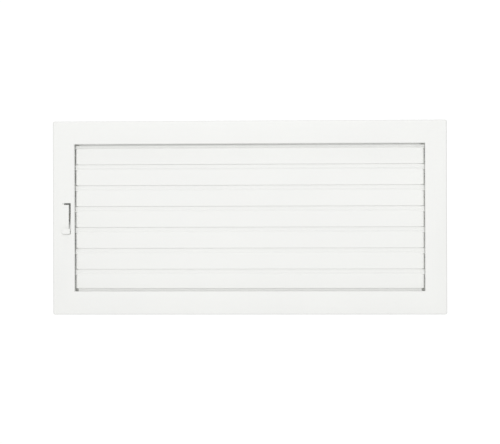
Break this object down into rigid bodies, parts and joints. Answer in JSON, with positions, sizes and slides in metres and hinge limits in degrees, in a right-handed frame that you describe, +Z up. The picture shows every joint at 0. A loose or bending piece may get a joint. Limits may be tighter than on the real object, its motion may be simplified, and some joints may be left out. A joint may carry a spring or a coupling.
{
  "type": "louvred air grille",
  "caption": "Rectangular wall air grille: flat white flange, pivoting horizontal blades that overlap when closed, joined by a tie bar and set by a small lever through the flange.",
  "frame": {"origin": "centre of the grille in the plane of the wall face, where the flange's folded rim rests", "axes": "+X to the right as seen from the room, +Y into the wall, +Z up"},
  "size_m": [0.45, 0.0374, 0.2214],
  "materials": {
    "white_coat": "smooth semi-gloss white powder coat on folded steel sheet",
    "zinc_steel": "bright zinc-plated steel",
    "spring_steel": "rolled spring steel, slightly darker and satin",
    "nylon": "natural moulded nylon"
  },
  "bodies": {
    "frame": {"front_panel": "white_coat", "carrier_left": "white_coat", "carrier_right": "white_coat", "carrier_top": "white_coat", "carrier_bottom": "white_coat", "top_stop": "white_coat", "bottom_stop": "white_coat", "carrier_rivets": "zinc_steel", "clip_rivets": "zinc_steel", "left_bushes": "nylon", "right_bushes": "nylon", "spring_clip_top_left": "spring_steel", "spring_clip_top_right": "spring_steel", "spring_clip_bottom_left": "spring_steel", "spring_clip_bottom_right": "spring_steel"},
    "blade_1": {"blade_1": "white_coat", "blade_1_pivot_pins": "zinc_steel", "blade_1_link_pin": "zinc_steel", "blade_1_link_clip": "spring_steel"},
    "blade_2": {"blade_2": "white_coat", "blade_2_pivot_pins": "zinc_steel", "blade_2_link_pin": "zinc_steel", "blade_2_link_clip": "spring_steel"},
    "blade_3": {"blade_3": "white_coat", "blade_3_pivot_pins": "zinc_steel", "blade_3_link_pin": "zinc_steel", "blade_3_link_clip": "spring_steel"},
    "blade_4": {"blade_4": "white_coat", "blade_4_right_pin": "zinc_steel", "blade_4_link_pin": "zinc_steel", "blade_4_link_clip": "spring_steel", "lever_axle": "zinc_steel", "lever": "white_coat", "lever_friction_washer": "nylon", "lever_spring_washer": "spring_steel", "lever_spacer": "nylon"},
    "blade_5": {"blade_5": "white_coat", "blade_5_pivot_pins": "zinc_steel", "blade_5_link_pin": "zinc_steel", "blade_5_link_clip": "spring_steel"},
    "blade_6": {"blade_6": "white_coat", "blade_6_pivot_pins": "zinc_steel", "blade_6_link_pin": "zinc_steel", "blade_6_link_clip": "spring_steel"},
    "blade_7": {"blade_7": "white_coat", "blade_7_pivot_pins": "zinc_steel", "blade_7_link_pin": "zinc_steel", "blade_7_link_clip": "spring_steel"},
    "tie_bar": {"tie_bar": "zinc_steel"}
  },
  "joints": [
    {"name": "lever_swing", "type": "hinge", "parent": "frame", "child": "blade_4", "pos_m": [0, 0.0074, 0], "axis": [-1, 0, 0], "range_deg": [0, 75]},
    {"name": "blade_1_pivot", "type": "hinge", "parent": "frame", "child": "blade_1", "pos_m": [0, 0.0074, 0.072], "axis": [-1, 0, 0], "range_deg": [0, 75]},
    {"name": "blade_2_pivot", "type": "hinge", "parent": "frame", "child": "blade_2", "pos_m": [0, 0.0074, 0.048], "axis": [-1, 0, 0], "range_deg": [0, 75]},
    {"name": "blade_3_pivot", "type": "hinge", "parent": "frame", "child": "blade_3", "pos_m": [0, 0.0074, 0.024], "axis": [-1, 0, 0], "range_deg": [0, 75]},
    {"name": "blade_5_pivot", "type": "hinge", "parent": "frame", "child": "blade_5", "pos_m": [0, 0.0074, -0.024], "axis": [-1, 0, 0], "range_deg": [0, 75]},
    {"name": "blade_6_pivot", "type": "hinge", "parent": "frame", "child": "blade_6", "pos_m": [0, 0.0074, -0.048], "axis": [-1, 0, 0], "range_deg": [0, 75]},
    {"name": "blade_7_pivot", "type": "hinge", "parent": "frame", "child": "blade_7", "pos_m": [0, 0.0074, -0.072], "axis": [-1, 0, 0], "range_deg": [0, 75]},
    {"name": "tie_bar_pivot", "type": "hinge", "parent": "blade_4", "child": "tie_bar", "pos_m": [-0.2019, 0.01613, 0.0067], "axis": [-1, 0, 0], "range_deg": [-75, 0]}
  ],
  "couplings": [
    {"joint": "blade_1_pivot", "follows": "lever_swing", "ratio": 1},
    {"joint": "blade_2_pivot", "follows": "lever_swing", "ratio": 1},
    {"joint": "blade_3_pivot", "follows": "lever_swing", "ratio": 1},
    {"joint": "blade_5_pivot", "follows": "lever_swing", "ratio": 1},
    {"joint": "blade_6_pivot", "follows": "lever_swing", "ratio": 1},
    {"joint": "blade_7_pivot", "follows": "lever_swing", "ratio": 1},
    {"joint": "tie_bar_pivot", "follows": "lever_swing", "ratio": -1}
  ]
}
